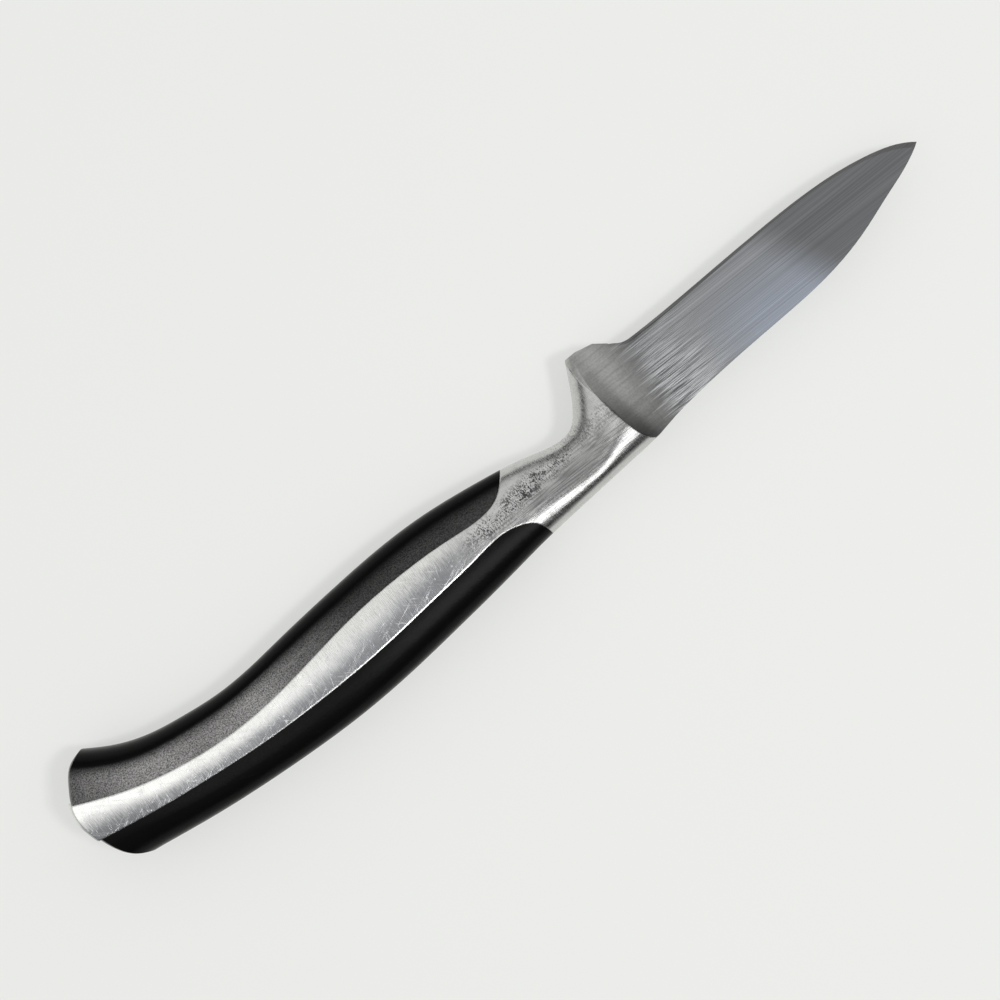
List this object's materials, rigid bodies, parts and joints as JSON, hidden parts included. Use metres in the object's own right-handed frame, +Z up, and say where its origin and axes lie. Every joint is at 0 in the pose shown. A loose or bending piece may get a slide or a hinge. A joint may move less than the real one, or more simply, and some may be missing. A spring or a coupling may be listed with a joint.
{
  "type": "paring knife",
  "caption": "Forged paring knife with full bolster and finger guard, steel band handle and two black grip inserts.",
  "frame": {"origin": "under the middle of the bounding box, on the surface that the knife lies on", "axes": "+X from the butt to the tip, +Y towards the cutting edge, +Z up from the side that it lies on"},
  "size_m": [0.2048, 0.0288, 0.0167],
  "materials": {
    "blade_steel": "ground lengthwise, satin",
    "handle_steel": "fine brushed, worn",
    "grip_black": "semi-matt moulded",
    "dowel_steel": "plain"
  },
  "bodies": {
    "root": {"blade": "blade_steel", "handle_core": "handle_steel", "belly_grip": "grip_black", "spine_grip": "grip_black", "grip_dowels": "dowel_steel"}
  },
  "joints": []
}
